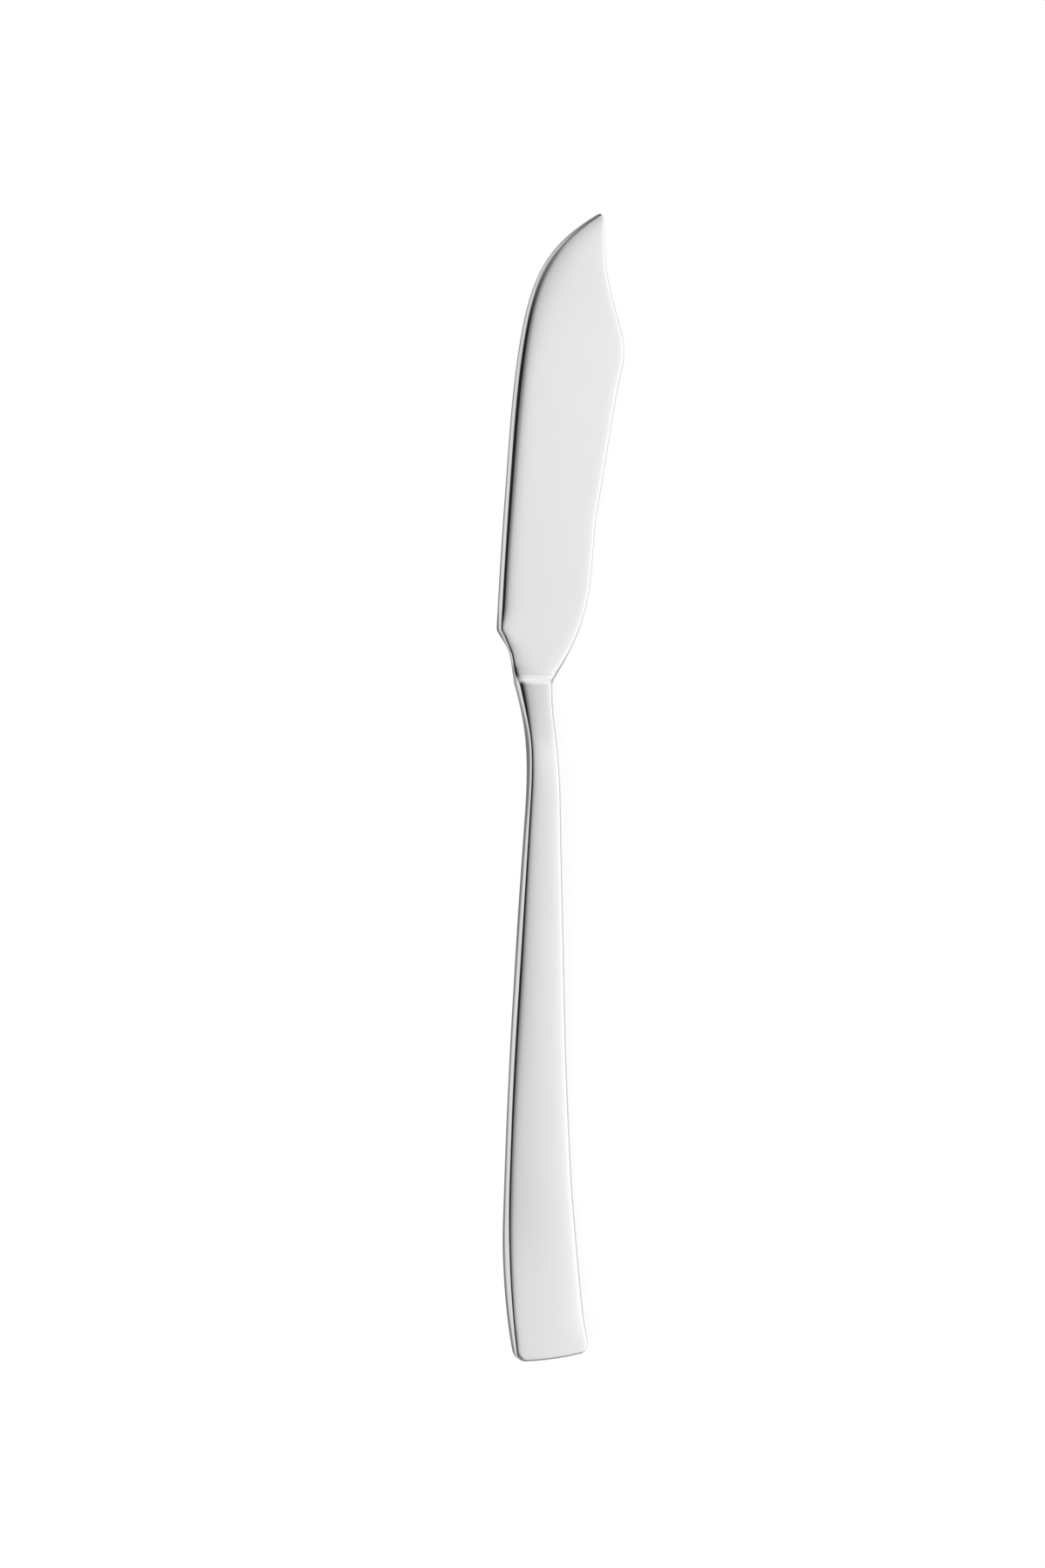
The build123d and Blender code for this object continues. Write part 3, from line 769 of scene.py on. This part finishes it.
pale_glow = pale_nodes.new("ShaderNodeEmission")
pale_glow.inputs["Strength"].default_value = FLOOR_GLOW
pale_rays = pale_nodes.new("ShaderNodeLightPath")
pale_seen = pale_nodes.new("ShaderNodeMath")
pale_seen.operation = "MAXIMUM"
pale_links.new(pale_rays.outputs["Is Camera Ray"], pale_seen.inputs[0])
pale_links.new(pale_rays.outputs["Is Transmission Ray"], pale_seen.inputs[1])
pale_share = pale_nodes.new("ShaderNodeMath")
pale_share.operation = "MULTIPLY"
pale_share.inputs[1].default_value = FLOOR_SHOWN
pale_links.new(pale_seen.outputs["Value"], pale_share.inputs[0])
pale_gloss = pale_nodes.new("ShaderNodeMath")
pale_gloss.operation = "MULTIPLY_ADD"
pale_gloss.inputs[1].default_value = FLOOR_MIRRORED
pale_links.new(pale_rays.outputs["Is Glossy Ray"], pale_gloss.inputs[0])
pale_links.new(pale_share.outputs["Value"], pale_gloss.inputs[2])
pale_mix = pale_nodes.new("ShaderNodeMixShader")
pale_links.new(pale_gloss.outputs["Value"], pale_mix.inputs["Fac"])
pale_links.new(pale_lit.outputs["BSDF"], pale_mix.inputs[1])
pale_links.new(pale_glow.outputs["Emission"], pale_mix.inputs[2])
pale_links.new(pale_mix.outputs["Shader"], pale_out.inputs["Surface"])
floor_mesh.materials.append(pale)

# Studio: a large soft box on the hump side, a dark flag above the edge side and grey walls beyond
# both ends, with a bright strip low behind the hump and the tip. The steel mirrors it; the camera
# sees plain white, and an even room and one broad lamp on the edge side light the table top.
ROOM_LEVEL = 0.45
WHITE_LEVEL = 1.0
BOX_LEVEL = 1.6
QUARTER_TURN = 90.0
# Levels by angle in degrees: across, from the zenith to the hump side, and along, to the tip
ACROSS_LEVELS = (
    (-90, 0.90), (-55, 0.90), (-49, 0.03), (-12, 0.01), (-7, 0.15), (0, 0.24), (8, 0.31),
    (14, 0.46), (20, 0.66), (25, 0.81), (28, 0.875), (29.4, 0.935), (30.5, 0.985), (32, 1.02),
    (34, 1.06), (38, 1.14), (45, 1.30), (60, 1.50), (70, 1.40), (77, 0.60), (84, 0.32),
    (89.99, BOX_LEVEL), (90, 0.28),
)
ALONG_LEVELS = (
    (-90, 0.10), (-50, 0.10), (-32, 0.20), (-22, 0.77), (-16, 0.955), (-4, 0.955), (1, 1.005),
    (5, 1.015), (10, 1.03), (13, 1.00), (16, 0.94), (20, 0.85), (24, 0.81), (30, 0.88), (36, 0.90),
    (48, 0.78), (60, 0.72), (89.99, BOX_LEVEL), (90, 0.72),
)
END_WALL_LEVELS = (
    (-90, 0.36), (-45, 0.32), (-30, 0.22), (-24, 0.01), (23, 0.00), (31, 0.10), (40, 0.20),
    (52, 0.36), (89.99, BOX_LEVEL), (90, 0.42),
)
LAMP_WATTS = 9.0
LAMP_SIZE = 0.6
LAMP_PLACE = Vector((-0.82, -0.03, 0.57))

room = bpy.data.worlds.new("white_room")
room.use_nodes = True
bpy.context.scene.world = room
room_nodes = room.node_tree.nodes
room_links = room.node_tree.links
room_nodes.clear()


def studio_level(angle_output, levels):
    """Light level by angle, straight between the levels given, as a share of the soft box's level:
    the angle is spread over a ramp from minus to plus a quarter turn."""
    spread = room_nodes.new("ShaderNodeMapRange")
    spread.inputs["From Min"].default_value = -np.radians(QUARTER_TURN)
    spread.inputs["From Max"].default_value = np.radians(QUARTER_TURN)
    room_links.new(angle_output, spread.inputs["Value"])
    ramp = room_nodes.new("ShaderNodeValToRGB")
    places = [(angle + QUARTER_TURN) / (2 * QUARTER_TURN) for angle, level in levels]
    greys = [(level / BOX_LEVEL,) * 3 + (1.0,) for angle, level in levels]
    stops = ramp.color_ramp.elements
    stops[0].color = greys[0]
    stops[1].color = greys[-1]
    for place, grey in zip(places[1:-1], greys[1:-1]):
        stops.new(place).color = grey
    room_links.new(spread.outputs["Result"], ramp.inputs["Fac"])
    return ramp.outputs["Color"]


def room_math(operation, first, second):
    """Output of one math node that takes two values or outputs of the room's nodes."""
    node = room_nodes.new("ShaderNodeMath")
    node.operation = operation
    for socket, value in zip(node.inputs, (first, second)):
        if isinstance(value, float):
            socket.default_value = value
        else:
            room_links.new(value, socket)
    return node.outputs["Value"]


room_way = room_nodes.new("ShaderNodeTexCoord")
room_axes = room_nodes.new("ShaderNodeSeparateXYZ")
room_links.new(room_way.outputs["Generated"], room_axes.inputs["Vector"])
across_angle = room_math("ARCTAN2", room_axes.outputs["X"], room_axes.outputs["Z"])
along_angle = room_math("ARCSINE", room_axes.outputs["Y"], 0.0)
across_level = studio_level(across_angle, ACROSS_LEVELS)
along_level = studio_level(along_angle, ALONG_LEVELS)
end_wall_level = studio_level(along_angle, END_WALL_LEVELS)
crossed_share = room_math("MULTIPLY", across_level, along_level)
box_share = room_math("MULTIPLY", crossed_share, BOX_LEVEL)
mirrored_share = room_math("MAXIMUM", box_share, end_wall_level)
mirrored_level = room_math("MULTIPLY", mirrored_share, BOX_LEVEL)
room_rays = room_nodes.new("ShaderNodeLightPath")
room_light = room_nodes.new("ShaderNodeBackground")
room_light.inputs["Strength"].default_value = ROOM_LEVEL
room_studio = room_nodes.new("ShaderNodeBackground")
room_links.new(mirrored_level, room_studio.inputs["Strength"])
room_white = room_nodes.new("ShaderNodeBackground")
room_white.inputs["Strength"].default_value = WHITE_LEVEL
for background in (room_light, room_studio, room_white):
    background.inputs["Color"].default_value = (1.0, 1.0, 1.0, 1.0)
room_glossy = room_nodes.new("ShaderNodeMixShader")
room_links.new(room_rays.outputs["Is Glossy Ray"], room_glossy.inputs["Fac"])
room_links.new(room_light.outputs["Background"], room_glossy.inputs[1])
room_links.new(room_studio.outputs["Background"], room_glossy.inputs[2])
room_seen = room_math(
    "MAXIMUM", room_rays.outputs["Is Camera Ray"], room_rays.outputs["Is Transmission Ray"]
)
room_mix = room_nodes.new("ShaderNodeMixShader")
room_links.new(room_seen, room_mix.inputs["Fac"])
room_links.new(room_glossy.outputs["Shader"], room_mix.inputs[1])
room_links.new(room_white.outputs["Background"], room_mix.inputs[2])
room_out = room_nodes.new("ShaderNodeOutputWorld")
room_links.new(room_mix.outputs["Shader"], room_out.inputs["Surface"])

lamp_data = bpy.data.lights.new("edge_lamp", "AREA")
lamp_data.energy = LAMP_WATTS
lamp_data.size = LAMP_SIZE
lamp = bpy.data.objects.new("edge_lamp", lamp_data)
bpy.context.scene.collection.objects.link(lamp)
lamp.location = LAMP_PLACE
lamp.rotation_euler = LAMP_PLACE.to_track_quat("Z", "Y").to_euler()
lamp.visible_glossy = False

# Camera: above the knife and tilted to its edge side, so that the edge's wall shows as a strip.
# It looks at the middle of the knife's length, with a slight roll.
CAMERA_TILT = np.radians(30.0)
CAMERA_ROLL = 0.00816
CAMERA_DISTANCE = 0.450
CAMERA_AIM = Vector((-0.0018, -0.027851, 0.0))
CAMERA_LENS = 56.762
SENSOR_WIDTH = 36.0
NEAR_CLIP = 0.01

lens = bpy.data.cameras.new("camera")
lens.lens = CAMERA_LENS
lens.sensor_width = SENSOR_WIDTH
lens.clip_start = NEAR_CLIP
camera = bpy.data.objects.new("camera", lens)
bpy.context.scene.collection.objects.link(camera)
toward_camera = Vector((-np.sin(CAMERA_TILT), 0.0, np.cos(CAMERA_TILT)))
turned = Matrix.Rotation(-CAMERA_TILT, 4, "Y") @ Matrix.Rotation(-CAMERA_ROLL, 4, "Z")
camera.matrix_world = Matrix.Translation(CAMERA_AIM + CAMERA_DISTANCE * toward_camera) @ turned
bpy.context.scene.camera = camera
bpy.context.scene.view_settings.view_transform = "Standard"
